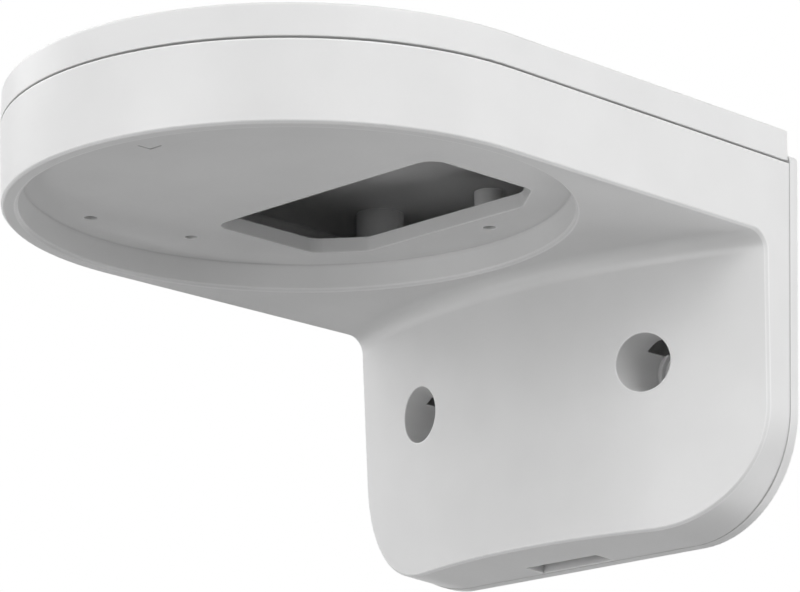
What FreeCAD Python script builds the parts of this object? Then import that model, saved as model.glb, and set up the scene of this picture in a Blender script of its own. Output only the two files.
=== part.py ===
import FreeCAD, Part
import math
import os

# Wall bracket for a dome camera: a cast L-shaped body that holds the camera under a round
# nose, a separate top cover, and the screws that hold the cover down.
# Frame: +Z up, +Y into the wall, +X to the right of someone who faces the wall.
# The origin lies on the wall plane, midway between the two wall screws.
# All sizes are in millimetres, and angles are in degrees.

V = FreeCAD.Vector
UP = V(0, 0, 1)
ALONG_X = V(1, 0, 0)

doc = FreeCAD.newDocument("camera_wall_bracket")
sheet = doc.addObject("Spreadsheet::Sheet", "sizes")

SIZES = (
    ("nose_radius", 61.1, "round nose, at the joint with the cover"),
    ("reach", 87.2, "wall plane to the centre of the round nose"),
    ("underside_height", 24.4, "wall screws up to the underside of the arm"),
    ("body_side", 16.65, "height of the arm's side wall, up to its rim"),
    ("draft_angle", 2.0, "draft of the walls that are drawn upward"),
    ("wall_drop", 37.2, "wall screws down to the lower edge at the wall"),
    ("bottom_slope", 4.0, "slope of the bottom face, lowest at the wall"),
    ("corner_radius", 26.0, "lower corners of the wall part"),
    ("wall_depth", 22.3, "depth of the wall part at its middle, level with the screws"),
    ("bow_radius", 144.5, "bow of the front face, in plan"),
    ("inner_fillet", 4.0, "hollow corner between underside and front face"),
    ("edge_bevel", 0.5, "small bevel round the arm's underside"),
    ("flange_thickness", 2.4, "strip that lies against the wall"),
    ("flange_step", 0.3, "how far the strip stands proud of the sides"),
    ("flange_sink", 0.08, "how far the strip stands proud below"),
    ("flange_rise", 2.1, "height of the strip above the body's rim"),
    ("flange_corner", 1.5, "upper corners of the strip"),
    ("wall_thickness", 3.0, "thickness of the cast walls"),
    ("well_wall", 3.6, "walls beside the well behind the camera seat"),
    ("underside_thickness", 3.3, "floor of the arm"),
    ("seat_radius", 56.5, "floor of the round camera seat"),
    ("seat_mouth_radius", 57.1, "mouth of the camera seat"),
    ("seat_depth", 5.95, "depth of the camera seat"),
    ("seat_lip", 0.6, "bevel of the seat's lip"),
    ("window_width", 65.4, "cable window, across"),
    ("window_front", 5.5, "centre of the nose back to the window"),
    ("window_rear", 42.3, "centre of the nose back to the far side of the window"),
    ("window_corner", 4.0, "round corners of the window"),
    ("window_cut_across", 9.7, "cut-off corners of the window, across"),
    ("window_cut_along", 7.4, "cut-off corners of the window, along"),
    ("window_shift", 0.65, "window off the centre line, to the right"),
    ("bore_radius", 6.32, "access bores for the wall screws"),
    ("bore_spacing", 66.1, "distance between the wall screws"),
    ("bore_floor", 6.2, "thickness left under the head of a wall screw"),
    ("washer_radius", 5.4, "sunk seat for the screw's washer"),
    ("washer_depth", 1.2, "depth of that seat"),
    ("screw_hole_radius", 2.4, "hole for a wall screw"),
    ("tube_wall", 2.5, "wall of the tube round an access bore"),
    ("duct_floor", 4.4, "wall screws up to where the tubes are cut open"),
    ("duct_depth", 11.5, "how far that cut reaches in from the wall"),
    ("rear_wall", 2.8, "thickness of the casting's rear wall"),
    ("inlet_radius", 12.5, "round cable hole in the rear wall"),
    ("inlet_height", 6.0, "wall screws up to the centre of the cable hole"),
    ("rib_thickness", 2.4, "stiffening ribs in the wall part"),
    ("notch_width", 20.6, "cable opening in the bottom face"),
    ("notch_front", 8.6, "wall plane to the front of that opening"),
    ("camera_circle", 49.0, "radius of the circle of camera screw holes"),
    ("camera_hole_radius", 1.4, "camera screw holes"),
    ("camera_hole_angle", 80.0, "first camera screw hole, from the X axis"),
    ("side_hole_across", 41.8, "single screw hole, left of the centre line"),
    ("side_hole_behind", 7.9, "single screw hole, behind the nose's centre"),
    ("post_radius", 5.4, "posts that carry the cover"),
    ("post_spacing", 75.2, "distance between the rear posts"),
    ("post_from_wall", 26.4, "wall plane to the rear posts"),
    ("front_post_inset", 11.1, "tip of the nose back to the front post"),
    ("boss_radius", 3.4, "short tapped boss behind the window"),
    ("boss_from_wall", 29.9, "wall plane to that boss"),
    ("boss_height", 8.5, "height of that boss above the floor"),
    ("boss_hole_radius", 1.25, "tapping hole in that boss"),
    ("boss_hole_depth", 7.0, "depth of that hole"),
    ("joint_gap", 0.5, "open joint between body and cover"),
    ("cover_side", 6.9, "height of the cover's side"),
    ("cover_top", 2.5, "thickness of the cover's top"),
    ("cover_wall", 2.6, "thickness of the cover's side"),
    ("cover_round", 0.6, "round of the cover's top edge"),
    ("rear_gap", 0.45, "open joint between the cover and the wall strip"),
    ("lip_clearance", 0.3, "room round the cover's locating lip"),
    ("lip_thickness", 1.5, "thickness of the locating lip"),
    ("lip_depth", 2.0, "how far the lip reaches below the cover's side"),
    ("thread_radius", 2.0, "cover screws"),
    ("thread_clearance", 0.05, "room round the thread"),
    ("hole_clearance", 0.25, "room round the shank in the cover"),
    ("head_radius", 3.8, "countersunk heads"),
    ("head_sink", 0.15, "how far a head lies below the top"),
    ("screw_length", 12.0, "cover screws, overall"),
    ("tap_extra", 1.0, "tapped depth past the screw's end"),
    ("socket_radius", 1.44, "hexagon socket, to its corners"),
    ("socket_depth", 1.3, "depth of the hexagon socket"),
    ("mark_length", 3.6, "one leg of the engraved corner mark"),
    ("mark_side", 1.9, "mark's corner left of the centre line"),
    ("mark_width", 0.6, "width of the engraved line"),
    ("mark_depth", 0.3, "depth of the engraved line"),
    ("mark_offset", 38.2, "centre of the nose forward to the mark"),
)
for row, (alias, value, meaning) in enumerate(SIZES, 1):
    sheet.set("A%d" % row, alias)
    sheet.set("B%d" % row, str(value))
    sheet.set("C%d" % row, meaning)
    sheet.setAlias("B%d" % row, alias)
doc.recompute()

# Heights and distances that several pieces share, as expressions on the sheet.
RIM = "(sizes.underside_height + sizes.body_side)"
DRAFT = "tan(sizes.draft_angle * 1deg)"
SEAT_Z = "(sizes.underside_height + sizes.seat_depth)"
FLOOR_Z = "(%s + sizes.underside_thickness)" % SEAT_Z
COVER_Z = "(%s + sizes.joint_gap)" % RIM
CEILING_Z = "(%s + sizes.cover_side - sizes.cover_top)" % COVER_Z
TOP_Z = "(%s + sizes.cover_side)" % COVER_Z
COVER_REAR = "(sizes.flange_thickness + sizes.rear_gap)"
OVERRUN = 1.0  # how far a cutter runs past the face that it opens
SLACK = 0.05  # edges are found by their place, to within this distance
SHARP_ANGLE = 20.0  # an edge is sharp if its faces meet at more than this
CAMERA_HOLES = 3


def size(alias):
    return float(sheet.get(alias))


def bind(obj, **expressions):
    for prop, expression in expressions.items():
        obj.setExpression(prop.replace("__", "."), expression)
    return obj


def place(obj, x="0", y="0", z="0", rotation=None):
    if rotation is not None:
        obj.Placement = FreeCAD.Placement(V(0, 0, 0), rotation)
    return bind(obj, Placement__Base__x=x, Placement__Base__y=y, Placement__Base__z=z)


def box(name, length, width, height, x, y, z):
    obj = doc.addObject("Part::Box", name)
    bind(obj, Length=length, Width=width, Height=height)
    return place(obj, x, y, z)


def cylinder(name, radius, height, x, y, z, rotation=None):
    obj = doc.addObject("Part::Cylinder", name)
    bind(obj, Radius=radius, Height=height)
    return place(obj, x, y, z, rotation)


def cone(name, low, high, height, x, y, z, turn=360, rotation=None):
    obj = doc.addObject("Part::Cone", name)
    obj.Angle = turn
    bind(obj, Radius1=low, Radius2=high, Height=height)
    return place(obj, x, y, z, rotation)


def fuse(name, *shapes):
    obj = doc.addObject("Part::MultiFuse", name)
    obj.Shapes = list(shapes)
    obj.Refine = True
    return obj


def common(name, *shapes):
    obj = doc.addObject("Part::MultiCommon", name)
    obj.Shapes = list(shapes)
    return obj


def cut(name, base, tool):
    obj = doc.addObject("Part::Cut", name)
    obj.Base = base
    obj.Tool = tool
    return obj


def rounded(name, base, radius, wanted, kind="Part::Fillet"):
    """Round, or bevel, the edges of the base that the test accepts."""
    doc.recompute()
    chosen = [n for n, edge in enumerate(base.Shape.Edges, 1) if wanted(edge, edge.BoundBox)]
    obj = doc.addObject(kind, name)
    obj.Base = base
    obj.Edges = [(n, radius, radius) for n in chosen]
    return obj


def bevelled(name, base, width, wanted):
    return rounded(name, base, width, wanted, "Part::Chamfer")


def is_level(bound, z):
    return abs(bound.ZMin - z) < SLACK and abs(bound.ZMax - z) < SLACK


def is_upright(edge, bound):
    return bound.XLength < SLACK and bound.YLength < SLACK and bound.ZLength > SLACK


FACE_WALL = FreeCAD.Rotation(ALONG_X, 90)  # local Z points away from the wall
HALF_TURN = FreeCAD.Rotation(UP, 180)


def tongue(name, inset, low, height, rear):
    """Upright form with the arm's plan: a half round nose and parallel sides back to the rear."""
    radius = "(sizes.nose_radius - %s)" % inset
    nose = cylinder(name + "_nose", radius, height, "0", "-sizes.reach", low, HALF_TURN)
    nose.Angle = 180
    straight = box(
        name + "_sides", "2 * " + radius, "sizes.reach - %s" % rear, height,
        "-" + radius, "-sizes.reach", low,
    )
    return fuse(name, nose, straight)


def drafted_tongue(name, low, height):
    """The arm's outer form, narrower towards its underside."""
    narrow = "(sizes.nose_radius - %s * %s)" % (height, DRAFT)
    nose = cone(
        name + "_nose", narrow, "sizes.nose_radius", height, "0", "-sizes.reach", low, 180, HALF_TURN,
    )
    sides = doc.addObject("Part::Wedge", name + "_sides")
    bind(
        sides, Xmin="-" + narrow, Xmax=narrow, X2min="-sizes.nose_radius", X2max="sizes.nose_radius",
        Ymin="0", Ymax=height, Zmin="0", Zmax="sizes.reach", Z2min="0", Z2max="sizes.reach",
    )
    place(sides, "0", "0", low, FACE_WALL)
    return fuse(name, nose, sides)


def air_below(name, bottom):
    """Block of air under the sloping bottom face, which is lowest at the wall."""
    depth = "sizes.reach"
    under = box(name, "3 * sizes.nose_radius", "2 * " + depth, "sizes.wall_drop", "0", "0", "0")
    under.Placement = FreeCAD.Placement(V(0, 0, 0), FreeCAD.Rotation(V(-1, 0, 0), size("bottom_slope")))
    bind(under, Placement__Rotation__Angle="sizes.bottom_slope * 1deg")
    sine = "sin(sizes.bottom_slope * 1deg)"
    cosine = "cos(sizes.bottom_slope * 1deg)"
    return place(
        under, "-1.5 * sizes.nose_radius", "-%s * %s - sizes.wall_drop * %s" % (depth, cosine, sine),
        "%s + %s * %s - sizes.wall_drop * %s" % (bottom, depth, sine, cosine),
    )


def wall_form(name, inset, top, rear):
    """The wall part, shrunk by the inset: drafted sides, round lower corners, bowed front."""
    height = "(%s + sizes.wall_drop - %s)" % (top, inset)
    side_top = "(sizes.nose_radius - %s - (%s - %s) * %s)" % (inset, RIM, top, DRAFT)
    side_low = "(%s - %s * %s)" % (side_top, height, DRAFT)
    depth = "(sizes.wall_depth + %s * %s + %s)" % (RIM, DRAFT, rear)
    block = doc.addObject("Part::Wedge", name + "_block")
    bind(
        block, Xmin="-" + side_low, Xmax=side_low, X2min="-" + side_top, X2max=side_top,
        Ymin="0", Ymax=height, Zmin="0", Zmax=depth, Z2min="0", Z2max=depth,
    )
    bottom = "(%s - sizes.wall_drop)" % inset
    place(block, "0", rear, bottom, FACE_WALL)
    under = air_below(name + "_under", bottom)
    sloped = cut(name + "_sloped", block, under)
    radius = size("corner_radius") - (0 if inset == "0" else size("wall_thickness"))
    lowest = -size("wall_drop") / 2
    half = size("nose_radius") / 2
    cornered = rounded(
        name + "_cornered", sloped, radius,
        lambda edge, b: b.ZMax < lowest and abs(b.Center.x) > half and b.YLength > b.XLength,
    )
    bow_low = "(sizes.bow_radius - %s - 2 * sizes.wall_drop * %s)" % (inset, DRAFT)
    bow_high = "(sizes.bow_radius - %s + 2 * %s * %s)" % (inset, RIM, DRAFT)
    bow = cone(
        name + "_bow", bow_low, bow_high, "2 * sizes.wall_drop + 2 * " + RIM,
        "0", "sizes.bow_radius - sizes.wall_depth", "-2 * sizes.wall_drop",
    )
    return common(name, cornered, bow)


def outer_form():
    """Arm and wall part as one, with the hollow corner between them and a bevel under the arm."""
    arm = drafted_tongue("arm", "sizes.underside_height", "sizes.body_side")
    wall = wall_form("wall", "0", RIM, "0")
    joined = fuse("arm_and_wall", arm, wall)
    under = size("underside_height")
    width = size("nose_radius")
    filleted = rounded(
        "inner_corner", joined, size("inner_fillet"),
        lambda edge, b: is_level(b, under) and b.XLength > width and b.YMin > -2 * size("wall_depth"),
    )

    def is_sharp(edge, b):
        if not is_level(b, under):
            return False
        middle = edge.valueAt((edge.FirstParameter + edge.LastParameter) / 2)
        normals = []
        for face in filleted.Shape.ancestorsOfType(edge, Part.Face):
            u, v = face.Surface.parameter(middle)
            normals.append(face.normalAt(u, v))
        return normals[0].getAngle(normals[1]) > math.radians(SHARP_ANGLE)

    return bevelled("outer_form", filleted, size("edge_bevel"), is_sharp)


def flange():
    """Strip against the wall, a little proud of the sides and higher than the body's rim."""
    high = "(%s + sizes.flange_rise)" % RIM
    bottom = "(-sizes.wall_drop - sizes.flange_sink)"
    height = "(%s - %s)" % (high, bottom)
    top = "(sizes.nose_radius + sizes.flange_step)"
    low = "(%s - %s * %s)" % (top, height, DRAFT)
    plate = doc.addObject("Part::Wedge", "flange_plate")
    bind(
        plate, Xmin="-" + low, Xmax=low, X2min="-" + top, X2max=top, Ymin="0", Ymax=height,
        Zmin="0", Zmax="sizes.flange_thickness", Z2min="0", Z2max="sizes.flange_thickness",
    )
    place(plate, "0", "0", bottom, FACE_WALL)
    thin = size("flange_thickness") + SLACK
    sloped = cut("flange_sloped", plate, air_below("flange_under", bottom))
    lower = rounded(
        "flange_lower", sloped, size("corner_radius"),
        lambda edge, b: b.ZMax < 0 and SLACK < b.YLength < thin and b.XLength < SLACK,
    )
    return rounded(
        "flange", lower, size("flange_corner"),
        lambda edge, b: b.ZMin > size("underside_height") and b.YLength > SLACK and b.XLength < SLACK,
    )


def hollows():
    """The inside of the arm, the well behind the camera seat and the inside of the wall part."""
    arm = tongue(
        "arm_hollow", "sizes.wall_thickness", FLOOR_Z, "(%s + %s - %s)" % (RIM, OVERRUN, FLOOR_Z),
        "sizes.rear_wall",
    )
    well_low = "(sizes.underside_height + sizes.underside_thickness)"
    well_all = box(
        "well_all", "2 * (sizes.nose_radius - sizes.well_wall)",
        "sizes.reach - sizes.rear_wall", "%s - %s + %s" % (FLOOR_Z, well_low, OVERRUN),
        "sizes.well_wall - sizes.nose_radius", "-sizes.reach", well_low,
    )
    seat_wall = cylinder(
        "seat_wall", "sizes.seat_mouth_radius + sizes.wall_thickness", "sizes.body_side",
        "0", "-sizes.reach", "sizes.underside_height",
    )
    well = cut("well", well_all, seat_wall)
    wall = wall_form("wall_hollow", "sizes.wall_thickness", FLOOR_Z, "-sizes.rear_wall")
    return fuse("hollows", arm, well, wall)


def tubes_and_ribs(outline):
    """Tubes round the two access bores, and the ribs that tie them to the walls."""
    depth = "(sizes.wall_depth + sizes.inner_fillet)"
    tube = "(sizes.bore_radius + sizes.tube_wall)"
    pieces = []
    for side, sign in (("left", "-"), ("right", "")):
        x = "%ssizes.bore_spacing / 2" % sign
        pieces.append(cylinder("tube_" + side, tube, depth, x, "0", "0", FACE_WALL))
        pieces.append(box(
            "rib_down_" + side, "sizes.rib_thickness", depth, "sizes.wall_drop - sizes.bore_radius",
            "%s - sizes.rib_thickness / 2" % x, "-" + depth, "-sizes.wall_drop",
        ))
        start = "sizes.bore_spacing / 2 + sizes.bore_radius"
        out = "(sizes.nose_radius - %s)" % start
        at = start if side == "right" else "-sizes.nose_radius"
        pieces.append(box(
            "rib_out_" + side, out, depth, "sizes.rib_thickness",
            at, "-" + depth, "-sizes.rib_thickness / 2",
        ))
    return common("tubes_and_ribs", fuse("tubes_raw", *pieces), outline)


POSTS = (
    ("left", "-sizes.post_spacing / 2", "-sizes.post_from_wall"),
    ("right", "sizes.post_spacing / 2", "-sizes.post_from_wall"),
    ("front", "0", "sizes.front_post_inset - sizes.reach - sizes.nose_radius"),
)


def posts():
    """Posts for the cover screws, up to the cover's ceiling, and the short boss between them."""
    on_floor = "(%s - sizes.underside_thickness / 2)" % FLOOR_Z
    in_well = "(sizes.underside_height + sizes.underside_thickness / 2)"
    made = []
    for name, x, y in POSTS:
        foot = on_floor if name == "front" else in_well
        height = "%s - %s" % (CEILING_Z, foot)
        made.append(cylinder("post_" + name, "sizes.post_radius", height, x, y, foot))
    made.append(cylinder(
        "boss", "sizes.boss_radius", "%s + sizes.boss_height - %s" % (FLOOR_Z, in_well),
        "0", "-sizes.boss_from_wall", in_well,
    ))
    return made


def seat_cutter():
    """The round camera seat: a drafted wall with a bevelled lip."""
    wall = cone(
        "seat_cone", "sizes.seat_mouth_radius", "sizes.seat_radius", "sizes.seat_depth",
        "0", "-sizes.reach", "sizes.underside_height",
    )
    wide = "sizes.seat_mouth_radius + sizes.seat_lip + %s" % OVERRUN
    lip = cone(
        "seat_lip", wide, "sizes.seat_mouth_radius", "sizes.seat_lip + %s" % OVERRUN,
        "0", "-sizes.reach", "sizes.underside_height - %s" % OVERRUN,
    )
    return fuse("seat", wall, lip)


def window_cutter():
    """Cable window in the seat's floor, a little off centre, with its two rear corners cut off."""
    height = "(sizes.underside_thickness + 2 * %s)" % OVERRUN
    low = "%s - %s" % (SEAT_Z, OVERRUN)
    left = "(sizes.window_shift - sizes.window_width / 2)"
    straight = "(sizes.window_rear - sizes.window_front - sizes.window_cut_along)"
    front = box(
        "window_front", "sizes.window_width", straight, height,
        left, "sizes.window_front - sizes.reach", low,
    )
    rear = doc.addObject("Part::Wedge", "window_rear")
    narrow = "(sizes.window_width / 2 - sizes.window_cut_across)"
    bind(
        rear, Xmin="-sizes.window_width / 2", Xmax="sizes.window_width / 2",
        X2min="-" + narrow, X2max=narrow, Ymin="0", Ymax="sizes.window_cut_along",
        Zmin="0", Zmax=height, Z2min="0", Z2max=height,
    )
    place(rear, "sizes.window_shift", "sizes.window_front + %s - sizes.reach" % straight, low)
    return rounded("window", fuse("window_raw", front, rear), size("window_corner"), is_upright)


def bore_cutters():
    """Access bores, washer seats and screw holes, the cut over the tubes, and the rear cable hole."""
    made = []
    for side, sign in (("left", "-"), ("right", "")):
        x = "%ssizes.bore_spacing / 2" % sign
        made.append(cylinder(
            "bore_" + side, "sizes.bore_radius", "2 * sizes.wall_depth",
            x, "-sizes.bore_floor", "0", FACE_WALL,
        ))
        made.append(cylinder(
            "washer_seat_" + side, "sizes.washer_radius", "sizes.wall_depth",
            x, "sizes.washer_depth - sizes.bore_floor", "0", FACE_WALL,
        ))
        made.append(cylinder(
            "screw_hole_" + side, "sizes.screw_hole_radius", "sizes.wall_depth",
            x, "%s" % OVERRUN, "0", FACE_WALL,
        ))
    half = "(sizes.bore_spacing / 2 + sizes.bore_radius + sizes.tube_wall + %s)" % OVERRUN
    made.append(box(
        "duct", "2 * " + half, "sizes.duct_depth - sizes.rear_wall",
        "sizes.underside_height - sizes.duct_floor", "-" + half, "-sizes.duct_depth", "sizes.duct_floor",
    ))
    made.append(cylinder(
        "cable_inlet", "sizes.inlet_radius", "sizes.rear_wall + 2 * %s" % OVERRUN,
        "0", "%s" % OVERRUN, "sizes.inlet_height", FACE_WALL,
    ))
    return made


def floor_cutters():
    """Camera screw holes, the single side hole, the corner mark and the bottom cable opening."""
    made = []
    for number in range(CAMERA_HOLES):
        angle = "((sizes.camera_hole_angle + %d) * 1deg)" % (360 / CAMERA_HOLES * number)
        made.append(cylinder(
            "camera_hole_%d" % (number + 1), "sizes.camera_hole_radius",
            "sizes.underside_thickness + 2 * %s" % OVERRUN,
            "sizes.camera_circle * cos(%s)" % angle,
            "sizes.camera_circle * sin(%s) - sizes.reach" % angle, "%s - %s" % (SEAT_Z, OVERRUN),
        ))
    made.append(cylinder(
        "side_hole", "sizes.camera_hole_radius", "sizes.underside_thickness + 2 * %s" % OVERRUN,
        "-sizes.side_hole_across", "sizes.side_hole_behind - sizes.reach", "%s - %s" % (SEAT_Z, OVERRUN),
    ))
    for name, length, width in (
        ("mark_across", "sizes.mark_length", "sizes.mark_width"),
        ("mark_along", "sizes.mark_width", "sizes.mark_length"),
    ):
        made.append(box(
            name, length, width, "2 * sizes.mark_depth", "-sizes.mark_side",
            "-sizes.reach - sizes.mark_offset - " + width, "%s - sizes.mark_depth" % SEAT_Z,
        ))
    made.append(box(
        "notch", "sizes.notch_width", "sizes.notch_front - sizes.rear_wall",
        "2 * sizes.wall_thickness + 2 * %s" % OVERRUN,
        "-sizes.notch_width / 2", "-sizes.notch_front", "-sizes.wall_drop - %s" % OVERRUN,
    ))
    return made


def post_cutters():
    """Tapped holes in the posts and in the short boss."""
    depth = "(sizes.screw_length - sizes.cover_top + sizes.tap_extra)"
    made = []
    for name, x, y in POSTS:
        made.append(cylinder(
            "tap_" + name, "sizes.thread_radius + sizes.thread_clearance", "%s + %s" % (depth, OVERRUN),
            x, y, "%s - %s" % (CEILING_Z, depth),
        ))
    made.append(cylinder(
        "tap_boss", "sizes.boss_hole_radius", "sizes.boss_hole_depth + %s" % OVERRUN,
        "0", "-sizes.boss_from_wall", "%s + sizes.boss_height - sizes.boss_hole_depth" % FLOOR_Z,
    ))
    return made


def bracket_body():
    outline = outer_form()
    shell = cut("shell", outline, hollows())
    whole = fuse("body_whole", shell, flange(), tubes_and_ribs(outline), *posts())
    cutters = [seat_cutter(), window_cutter()] + bore_cutters() + floor_cutters() + post_cutters()
    return cut("bracket_body", whole, fuse("body_cutters", *cutters))


def top_cover():
    """Shallow lid with a top, a side wall and a locating lip that drops inside the body's rim."""
    raw = tongue("cover_raw", "0", COVER_Z, "sizes.cover_side", COVER_REAR)
    top = size("underside_height") + size("body_side") + size("joint_gap") + size("cover_side")
    skin = rounded("cover_skin", raw, size("cover_round"), lambda edge, b: is_level(b, top))
    inside = tongue(
        "cover_inside", "sizes.cover_wall", "%s - %s" % (COVER_Z, OVERRUN),
        "sizes.cover_side - sizes.cover_top + %s" % OVERRUN, "(%s + sizes.cover_wall)" % COVER_REAR,
    )
    shell = cut("cover_shell", skin, inside)
    lip_inset = "(sizes.wall_thickness + sizes.lip_clearance)"
    lip_height = "(sizes.lip_depth + sizes.cover_side - sizes.cover_top + %s / 2)" % OVERRUN
    lip_low = "%s - sizes.lip_depth" % COVER_Z
    lip_out = tongue("lip_out", lip_inset, lip_low, lip_height, lip_inset)
    lip_in = tongue(
        "lip_in", "(%s + sizes.lip_thickness)" % lip_inset, "%s - %s" % (lip_low, OVERRUN),
        "%s - %s / 2 + %s" % (lip_height, OVERRUN, OVERRUN), "(%s + sizes.lip_thickness)" % lip_inset,
    )
    lip = cut("lip", lip_out, lip_in)
    cutters = []
    for name, x, y in POSTS:
        cutters.append(cylinder(
            "cover_hole_" + name, "sizes.thread_radius + sizes.hole_clearance",
            "sizes.cover_top + 2 * %s" % OVERRUN, x, y, "%s - %s" % (CEILING_Z, OVERRUN),
        ))
        cutters.append(cone(
            "countersink_" + name, "0", "sizes.head_radius + sizes.hole_clearance + %s" % OVERRUN,
            "sizes.head_radius + sizes.hole_clearance + %s" % OVERRUN, x, y,
            "%s - sizes.head_sink - sizes.head_radius" % TOP_Z,
        ))
    return cut("top_cover", fuse("cover_whole", shell, lip), fuse("cover_cutters", *cutters))


def cover_screw(side, x, y):
    """Countersunk screw with a hexagon socket; its fine thread is left as a plain cylinder."""
    seat = "(%s - sizes.head_sink)" % TOP_Z
    cone_height = "(sizes.head_radius - sizes.thread_radius)"
    head = cone(
        "head_" + side, "sizes.thread_radius", "sizes.head_radius", cone_height, x, y,
        "%s - %s" % (seat, cone_height),
    )
    shank = cylinder(
        "shank_" + side, "sizes.thread_radius", "sizes.screw_length - %s / 2" % cone_height, x, y,
        "%s - sizes.screw_length" % seat,
    )
    socket = doc.addObject("Part::Prism", "socket_" + side)
    socket.Polygon = 6
    bind(socket, Circumradius="sizes.socket_radius", Height="sizes.socket_depth + %s" % OVERRUN)
    place(socket, x, y, "%s - sizes.socket_depth" % seat)
    return cut("cover_screw_" + side, fuse("screw_raw_" + side, head, shank), socket)


def main():
    parts = [bracket_body(), top_cover()]
    for name, x, y in POSTS:
        parts.append(cover_screw(name, x, y))
    doc.recompute()
    for obj in doc.Objects:
        if "Invalid" in obj.State or "Error" in obj.State:
            raise RuntimeError("%s failed: %s" % (obj.Name, obj.State))
    os.makedirs("parts", exist_ok=True)
    for part in parts:
        part.Label = part.Name
        shape = part.Shape
        if shape.isNull() or not shape.isValid():
            raise RuntimeError("%s has no valid shape" % part.Label)
        if len(shape.Solids) != 1:
            raise RuntimeError("%s has %d solids" % (part.Label, len(shape.Solids)))
        print(part.Label, "volume", round(shape.Volume), "mm3", shape.BoundBox)
        shape.exportStep("parts/%s.step" % part.Label)


main()
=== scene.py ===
import math

import bpy
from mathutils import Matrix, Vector

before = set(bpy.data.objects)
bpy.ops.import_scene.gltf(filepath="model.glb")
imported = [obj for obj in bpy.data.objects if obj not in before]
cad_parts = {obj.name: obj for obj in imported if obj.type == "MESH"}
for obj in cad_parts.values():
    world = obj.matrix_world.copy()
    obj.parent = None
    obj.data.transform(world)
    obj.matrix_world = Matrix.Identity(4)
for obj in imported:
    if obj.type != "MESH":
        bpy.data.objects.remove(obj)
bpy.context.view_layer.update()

# Lengths are in metres, in the bracket's own frame: +Z up, +Y into the wall,
# origin on the wall plane midway between the two wall screws.

# Camera, as found from the photograph
AZIMUTH = math.radians(45.13)
ELEVATION = math.radians(-15.66)
TARGET = Vector((-0.01681, -0.04075, 0.01991))
DISTANCE = 0.74893
SENSOR_WIDTH = 36.0
LENS = 155.12
NEAR_CLIP = 0.01
FAR_CLIP = 20.0

# Studio
FLOOR_HEIGHT = -1.80
FLOOR_SIZE = 10.0
FILL_STRENGTH = 0.02
WHITE_STRENGTH = 1.0
PAPER_DARK = (0.67, 0.67, 0.67)
PAPER_LIGHT = (0.69, 0.69, 0.69)
PAPER_CLOUD_SIZE = 0.5
PAPER_ROUGHNESS = 0.9
PAPER_STRENGTH = 0.9
PAPER_SHARE = 0.9
LAMP_WIDTH = 1.2
LAMP_DISTANCE = 2.0

# Powder coat
COAT_WHITE = (0.80, 0.80, 0.80)
COAT_SHADE = (0.765, 0.765, 0.765)
# Painted highlight: lighter colour put on raised edges for the light a rounded edge catches
COAT_PAINTED_HIGHLIGHT = (0.94, 0.94, 0.94)
# Painted shade: darker colour put in creases and recesses, where shade falls
COAT_PAINTED_SHADE = (0.68, 0.68, 0.68)
COAT_ROUGHNESS = (0.30, 0.40)
GRAIN_SIZE = 0.0007
GRAIN_HEIGHT = 0.00002
GRAIN_STRENGTH = 0.5
GRAIN_DETAIL = 3.0
MOTTLE_SIZE = 0.02
EDGE_RADIUS = 0.0005
CREASE_REACH = 0.001

# Where the painted highlight on edges starts and is full: likeness of the rounded and the
# plain normal
PAINTED_HIGHLIGHT_STARTS = 0.999
PAINTED_HIGHLIGHT_FULL = 0.98

# Openness at which an edge may get the painted highlight, and at which the painted shade in
# creases starts and is full
HIGHLIGHT_NEEDS_OPEN = 0.8
HIGHLIGHT_FULLY_OPEN = 0.95
PAINTED_SHADE_STARTS = 0.97
PAINTED_SHADE_FULL = 0.5

# Screws
STEEL_DARK = (0.55, 0.55, 0.56)
STEEL_LIGHT = (0.64, 0.64, 0.65)
STEEL_ROUGHNESS = (0.26, 0.38)
STEEL_CLOUD_SIZE = 0.0015
STEEL_GRAIN_SIZE = 0.0003
STEEL_GRAIN_HEIGHT = 0.000005
STEEL_GRAIN_STRENGTH = 0.4
STEEL_EDGE_RADIUS = 0.0001

# Values between which nearly all of a noise texture lies
NOISE_LOW = 0.3
NOISE_HIGH = 0.7

BEVEL_SAMPLES = 8
OPENNESS_SAMPLES = 4


def new_material(name):
    """A node tree with a surface shader, and the object's own coordinates."""
    material = bpy.data.materials.new(name)
    material.use_nodes = True
    tree = material.node_tree
    tree.nodes.clear()
    output = tree.nodes.new("ShaderNodeOutputMaterial")
    shader = tree.nodes.new("ShaderNodeBsdfPrincipled")
    tree.links.new(shader.outputs["BSDF"], output.inputs["Surface"])
    place = tree.nodes.new("ShaderNodeTexCoord")
    return material, tree, shader, place.outputs["Object"]


def noise(tree, place, feature_size, detail=2.0):
    """Noise with features of about this size, in metres."""
    node = tree.nodes.new("ShaderNodeTexNoise")
    node.inputs["Scale"].default_value = 1.0 / feature_size
    node.inputs["Detail"].default_value = detail
    tree.links.new(place, node.inputs["Vector"])
    return node.outputs["Fac"]


def mapped(tree, value, low, high):
    """The noise value, moved to the range from low to high."""
    node = tree.nodes.new("ShaderNodeMapRange")
    node.inputs["From Min"].default_value = NOISE_LOW
    node.inputs["From Max"].default_value = NOISE_HIGH
    node.inputs["To Min"].default_value = low
    node.inputs["To Max"].default_value = high
    tree.links.new(value, node.inputs["Value"])
    return node.outputs["Result"]


def colour_mix(tree, share, tone):
    """Mix node that turns its first colour into the tone as far as the share says."""
    node = tree.nodes.new("ShaderNodeMix")
    node.data_type = "RGBA"
    node.inputs["B"].default_value = (*tone, 1.0)
    tree.links.new(share, node.inputs["Factor"])
    return node


def two_tones(tree, share, first, second):
    """Colour between two fixed ones."""
    node = colour_mix(tree, share, second)
    node.inputs["A"].default_value = (*first, 1.0)
    return node.outputs["Result"]


def toned(tree, share, colour, tone):
    """A node's colour, replaced by the tone as far as the share says."""
    node = colour_mix(tree, share, tone)
    tree.links.new(colour, node.inputs["A"])
    return node.outputs["Result"]


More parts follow.
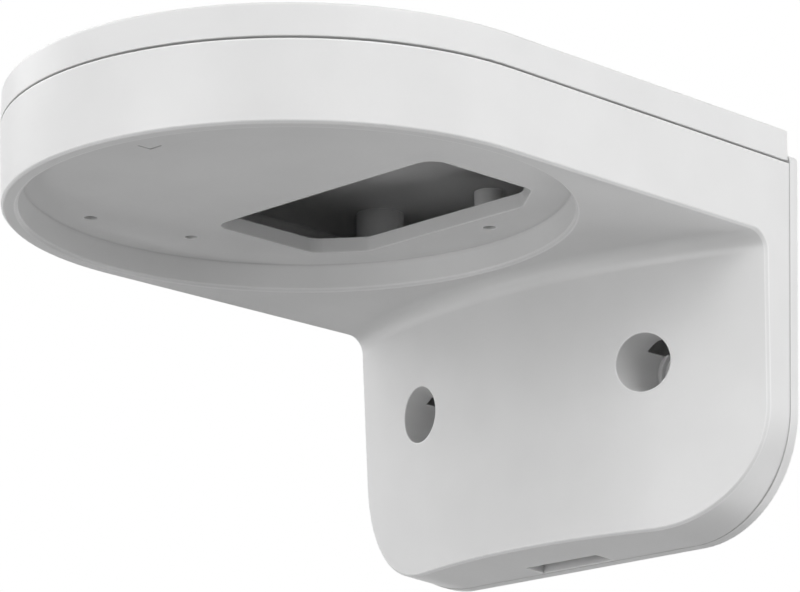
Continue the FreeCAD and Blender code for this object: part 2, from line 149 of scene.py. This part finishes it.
def soft_edges_and_bump(tree, shader, height, radius, distance, strength):
    """Edges that catch the light as a small round would, with a fine relief over them."""
    bevel = tree.nodes.new("ShaderNodeBevel")
    bevel.samples = BEVEL_SAMPLES
    bevel.inputs["Radius"].default_value = radius
    bump = tree.nodes.new("ShaderNodeBump")
    bump.inputs["Distance"].default_value = distance
    bump.inputs["Strength"].default_value = strength
    tree.links.new(height, bump.inputs["Height"])
    tree.links.new(bevel.outputs["Normal"], bump.inputs["Normal"])
    tree.links.new(bump.outputs["Normal"], shader.inputs["Normal"])
    return bevel.outputs["Normal"]


def ramp(tree, value, start, end):
    """Nothing at the start value and one at the end value."""
    node = tree.nodes.new("ShaderNodeMapRange")
    node.inputs["From Min"].default_value = start
    node.inputs["From Max"].default_value = end
    tree.links.new(value, node.inputs["Value"])
    return node.outputs["Result"]


def openness(tree):
    """One on open faces, less in creases and engraved lines."""
    node = tree.nodes.new("ShaderNodeAmbientOcclusion")
    node.samples = OPENNESS_SAMPLES
    node.only_local = True
    node.inputs["Distance"].default_value = CREASE_REACH
    return node.outputs["AO"]


def painted_highlight_share(tree, rounded_normal, open_share):
    """Share of painted highlight: one at a raised edge, where the rounded normal turns, and
    nothing away from it.
    """
    geometry = tree.nodes.new("ShaderNodeNewGeometry")
    alike = tree.nodes.new("ShaderNodeVectorMath")
    alike.operation = "DOT_PRODUCT"
    tree.links.new(rounded_normal, alike.inputs[0])
    tree.links.new(geometry.outputs["Normal"], alike.inputs[1])
    share = tree.nodes.new("ShaderNodeMath")
    share.operation = "MULTIPLY"
    turned = ramp(tree, alike.outputs["Value"], PAINTED_HIGHLIGHT_STARTS, PAINTED_HIGHLIGHT_FULL)
    raised = ramp(tree, open_share, HIGHLIGHT_NEEDS_OPEN, HIGHLIGHT_FULLY_OPEN)
    tree.links.new(turned, share.inputs[0])
    tree.links.new(raised, share.inputs[1])
    return share.outputs["Value"]


def powder_coat(name):
    """Matte white powder coat with a fine grain, with a painted highlight on edges and
    painted shade in creases.
    """
    material, tree, shader, place = new_material(name)
    grain = noise(tree, place, GRAIN_SIZE, GRAIN_DETAIL)
    tree.links.new(mapped(tree, grain, *COAT_ROUGHNESS), shader.inputs["Roughness"])
    rounded_normal = soft_edges_and_bump(
        tree, shader, grain, EDGE_RADIUS, GRAIN_HEIGHT, GRAIN_STRENGTH
    )
    mottle = mapped(tree, noise(tree, place, MOTTLE_SIZE), 0.0, 1.0)
    open_share = openness(tree)
    # Painted shade: the colour is darkened in creases, where the openness says shade falls
    painted_shade_share = ramp(tree, open_share, PAINTED_SHADE_STARTS, PAINTED_SHADE_FULL)
    colour = two_tones(tree, mottle, COAT_WHITE, COAT_SHADE)
    colour = toned(tree, painted_shade_share, colour, COAT_PAINTED_SHADE)
    # Painted highlight: the colour is lightened on raised open edges
    colour = toned(tree, painted_highlight_share(tree, rounded_normal, open_share), colour, COAT_PAINTED_HIGHLIGHT)
    tree.links.new(colour, shader.inputs["Base Color"])
    return material


def screw_steel(name):
    """Plain stainless steel with a fine grain."""
    material, tree, shader, place = new_material(name)
    cloud = mapped(tree, noise(tree, place, STEEL_CLOUD_SIZE), 0.0, 1.0)
    colour = two_tones(tree, cloud, STEEL_DARK, STEEL_LIGHT)
    tree.links.new(colour, shader.inputs["Base Color"])
    shader.inputs["Metallic"].default_value = 1.0
    grain = noise(tree, place, STEEL_GRAIN_SIZE)
    tree.links.new(mapped(tree, grain, *STEEL_ROUGHNESS), shader.inputs["Roughness"])
    soft_edges_and_bump(
        tree, shader, grain, STEEL_EDGE_RADIUS, STEEL_GRAIN_HEIGHT, STEEL_GRAIN_STRENGTH
    )
    return material


def paint(node, material):
    """Give a CAD node this material in its own slots."""
    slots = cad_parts[node].data.materials
    if not slots:
        slots.append(material)
    for number in range(len(slots)):
        slots[number] = material


def studio_floor():
    """Pale paper that the camera sees mostly by its own colour, far below the bracket."""
    bpy.ops.mesh.primitive_plane_add(size=FLOOR_SIZE, location=(0, 0, FLOOR_HEIGHT))
    floor = bpy.context.object
    floor.name = "studio_floor"
    material, tree, shader, place = new_material("studio_paper")
    cloud = mapped(tree, noise(tree, place, PAPER_CLOUD_SIZE), 0.0, 1.0)
    colour = two_tones(tree, cloud, PAPER_DARK, PAPER_LIGHT)
    tree.links.new(colour, shader.inputs["Base Color"])
    shader.inputs["Roughness"].default_value = PAPER_ROUGHNESS
    glow = tree.nodes.new("ShaderNodeEmission")
    glow.inputs["Color"].default_value = (1.0, 1.0, 1.0, 1.0)
    glow.inputs["Strength"].default_value = PAPER_STRENGTH
    seen = tree.nodes.new("ShaderNodeMath")
    seen.operation = "MULTIPLY"
    seen.inputs[1].default_value = PAPER_SHARE
    path = tree.nodes.new("ShaderNodeLightPath")
    tree.links.new(path.outputs["Is Camera Ray"], seen.inputs[0])
    mix = tree.nodes.new("ShaderNodeMixShader")
    tree.links.new(seen.outputs["Value"], mix.inputs["Fac"])
    tree.links.new(shader.outputs["BSDF"], mix.inputs[1])
    tree.links.new(glow.outputs["Emission"], mix.inputs[2])
    output = tree.nodes["Material Output"]
    tree.links.new(mix.outputs["Shader"], output.inputs["Surface"])
    floor.data.materials.append(material)


def studio_air():
    """White past the bracket and in its reflections, and a weak even light from all round."""
    world = bpy.data.worlds.new("studio_air")
    bpy.context.scene.world = world
    world.use_nodes = True
    tree = world.node_tree
    tree.nodes.clear()
    output = tree.nodes.new("ShaderNodeOutputWorld")
    path = tree.nodes.new("ShaderNodeLightPath")
    mix = tree.nodes.new("ShaderNodeMixShader")
    for strength, socket in ((FILL_STRENGTH, 1), (WHITE_STRENGTH, 2)):
        air = tree.nodes.new("ShaderNodeBackground")
        air.inputs["Color"].default_value = (1.0, 1.0, 1.0, 1.0)
        air.inputs["Strength"].default_value = strength
        tree.links.new(air.outputs["Background"], mix.inputs[socket])
    shows_white = path.outputs["Is Camera Ray"]
    for kind in ("Is Glossy Ray", "Is Transmission Ray"):
        either = tree.nodes.new("ShaderNodeMath")
        either.operation = "MAXIMUM"
        tree.links.new(shows_white, either.inputs[0])
        tree.links.new(path.outputs[kind], either.inputs[1])
        shows_white = either.outputs["Value"]
    tree.links.new(shows_white, mix.inputs["Fac"])
    tree.links.new(mix.outputs["Shader"], output.inputs["Surface"])


def direction(azimuth, elevation):
    """Unit vector, with the azimuth measured from -Y towards +X, both in radians."""
    return Vector((
        math.sin(azimuth) * math.cos(elevation),
        -math.cos(azimuth) * math.cos(elevation),
        math.sin(elevation),
    ))


def softbox(name, azimuth, elevation, power, width=LAMP_WIDTH, distance=LAMP_DISTANCE):
    """Square area lamp that faces the bracket from a direction given in degrees."""
    lamp = bpy.data.lights.new(name, "AREA")
    lamp.size = width
    lamp.energy = power
    holder = bpy.data.objects.new(name, lamp)
    holder.location = distance * direction(math.radians(azimuth), math.radians(elevation))
    holder.rotation_mode = "QUATERNION"
    holder.rotation_quaternion = (TARGET - holder.location).to_track_quat("-Z", "Y")
    bpy.context.scene.collection.objects.link(holder)


def camera():
    """Camera at the photograph's viewing angle."""
    back = direction(AZIMUTH, ELEVATION)
    lens = bpy.data.cameras.new("camera")
    lens.sensor_width = SENSOR_WIDTH
    lens.lens = LENS
    lens.clip_start = NEAR_CLIP
    lens.clip_end = FAR_CLIP
    holder = bpy.data.objects.new("camera", lens)
    holder.location = TARGET + DISTANCE * back
    holder.rotation_mode = "QUATERNION"
    holder.rotation_quaternion = (-back).to_track_quat("-Z", "Y")
    bpy.context.scene.collection.objects.link(holder)
    bpy.context.scene.camera = holder


coat = powder_coat("white_powder_coat")
cover_coat = powder_coat("white_powder_coat_cover")
steel = screw_steel("stainless_steel")
paint("bracket_body", coat)
paint("top_cover", cover_coat)
for side in ("left", "right", "front"):
    paint("cover_screw_" + side, steel)

studio_floor()
studio_air()
softbox("lamp_front", 0, 0, 14.0)
softbox("lamp_front_right", 60, 0, 5.5)
softbox("lamp_left", -45, 0, 1.6)
softbox("lamp_low_left", -50, -40, 3.0, width=0.6)
softbox("lamp_low_front", -30, -20, 2.2, width=1.0)
softbox("lamp_low_rear", 150, -40, 1.4, width=0.4, distance=0.7)
softbox("lamp_high_left", -70, 35, 10.1)
softbox("lamp_high_front", -20, 35, 5.8)
softbox("lamp_high_middle", 30, 40, 5.4)
softbox("lamp_high_right", 80, 35, 16.6)
softbox("lamp_right", 120, 20, 12.8)
camera()
bpy.context.scene.view_settings.view_transform = "Standard"
